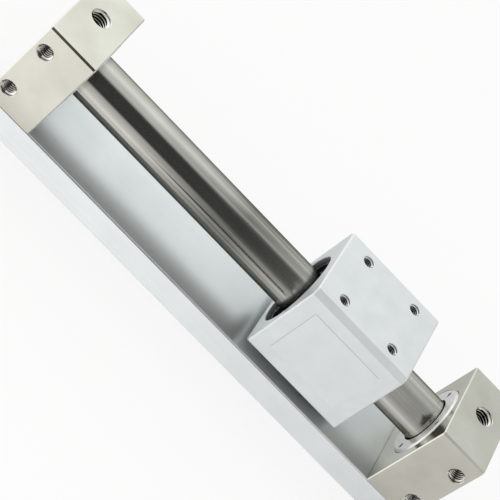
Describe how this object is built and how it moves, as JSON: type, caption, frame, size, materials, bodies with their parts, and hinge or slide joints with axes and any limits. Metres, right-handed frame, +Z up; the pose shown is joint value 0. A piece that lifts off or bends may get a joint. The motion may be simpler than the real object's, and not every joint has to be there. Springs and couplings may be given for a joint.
{
  "type": "magnetic rodless cylinder",
  "caption": "Magnetic rodless air cylinder: a block slider rides on a steel tube between ported end covers on a switch rail, drawn along by a magnetic piston inside.",
  "frame": {"origin": "middle of the rail's underside, on which the cylinder lies", "axes": "+X along the tube towards the right end cover, -Y out of the front face with the foot holes, +Z up out of the slider's load face"},
  "size_m": [0.1382, 0.026, 0.0356],
  "materials": {
    "nickel_plated_aluminium": "satin electroless nickel plate",
    "bright_nickel": "turned, bright nickel plate",
    "drawn_stainless_steel": "drawn, with fine lengthwise lines",
    "anodised_slider": "matt silver anodised",
    "anodised_rail": "satin clear anodised extrusion",
    "black_spring_steel": "black phosphated",
    "nitrile_rubber": "matt black",
    "urethane": "amber, smooth",
    "black_resin": "moulded, matt",
    "wear_resin": "filled resin, matt",
    "plated_magnet": "nickel-plated sintered magnet",
    "yoke_steel": "stamped, zinc chromated",
    "zinc_plated_steel": "zinc plated",
    "turned_steel": "turned",
    "turned_brass": "turned"
  },
  "bodies": {
    "frame": {"cylinder_tube": "drawn_stainless_steel", "left_end_cover": "nickel_plated_aluminium", "right_end_cover": "nickel_plated_aluminium", "switch_rail": "anodised_rail", "magnetic_shield_plate": "zinc_plated_steel", "rail_screws": "zinc_plated_steel", "left_tube_ring": "bright_nickel", "left_tube_clip": "black_spring_steel", "left_tube_seal": "nitrile_rubber", "right_tube_ring": "bright_nickel", "right_tube_clip": "black_spring_steel", "right_tube_seal": "nitrile_rubber"},
    "slider": {"slider_body": "anodised_slider", "switch_magnet": "plated_magnet", "slider_magnet_1": "plated_magnet", "slider_magnet_2": "plated_magnet", "slider_magnet_3": "plated_magnet", "slider_yoke_1": "yoke_steel", "slider_yoke_2": "yoke_steel", "slider_yoke_3": "yoke_steel", "slider_yoke_4": "yoke_steel", "left_guide_holder": "black_resin", "left_slider_wear_ring": "wear_resin", "left_scraper": "nitrile_rubber", "left_slider_clip": "black_spring_steel", "right_guide_holder": "black_resin", "right_slider_wear_ring": "wear_resin", "right_scraper": "nitrile_rubber", "right_slider_clip": "black_spring_steel"},
    "piston": {"piston_shaft": "turned_steel", "piston_nuts": "zinc_plated_steel", "piston_magnet_1": "plated_magnet", "piston_magnet_2": "plated_magnet", "piston_magnet_3": "plated_magnet", "piston_yoke_1": "yoke_steel", "piston_yoke_2": "yoke_steel", "piston_yoke_3": "yoke_steel", "piston_yoke_4": "yoke_steel", "left_piston": "turned_brass", "left_piston_wear_ring": "wear_resin", "left_piston_seal": "nitrile_rubber", "left_bumper": "urethane", "right_piston": "turned_brass", "right_piston_wear_ring": "wear_resin", "right_piston_seal": "nitrile_rubber", "right_bumper": "urethane"}
  },
  "joints": [
    {"name": "slider_travel", "type": "slide", "parent": "frame", "child": "slider", "axis": [1, 0, 0], "range_m": [-0.0666, 0.0134]},
    {"name": "piston_travel", "type": "slide", "parent": "frame", "child": "piston", "axis": [1, 0, 0], "range_m": [-0.0666, 0.0134]}
  ],
  "couplings": [
    {"joint": "piston_travel", "follows": "slider_travel", "ratio": 1}
  ]
}
